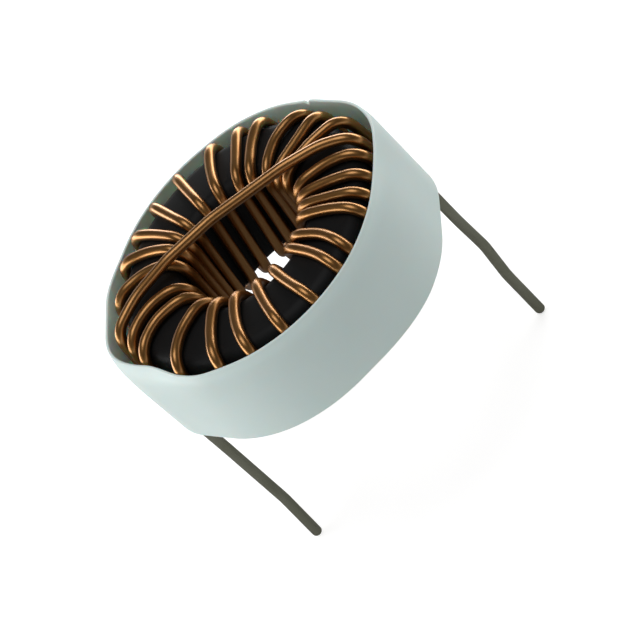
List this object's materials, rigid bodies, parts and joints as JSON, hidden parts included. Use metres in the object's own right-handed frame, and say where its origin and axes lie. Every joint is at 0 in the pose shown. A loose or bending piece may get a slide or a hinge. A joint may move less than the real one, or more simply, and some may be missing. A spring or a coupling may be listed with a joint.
{
  "type": "toroidal inductor",
  "caption": "Through-hole power inductor: enamelled copper wire wound on a coated ring core, with a shrunk sleeve round the outside and two wire leads.",
  "frame": {"origin": "midway between the two leads, on the plane under the lowest turns, which stand on the board", "axes": "+Z along the ring's axis, away from the leads; +X through the two leads"},
  "size_m": [0.0214, 0.0198, 0.0224],
  "materials": {
    "core_coating": "satin black coating over pressed iron powder",
    "enamelled_wire": "clear amber enamel over copper, tinned below the sleeve",
    "shrink_sleeve": "satin"
  },
  "bodies": {
    "root": {"core": "core_coating", "winding": "enamelled_wire", "sleeve": "shrink_sleeve"}
  },
  "joints": []
}
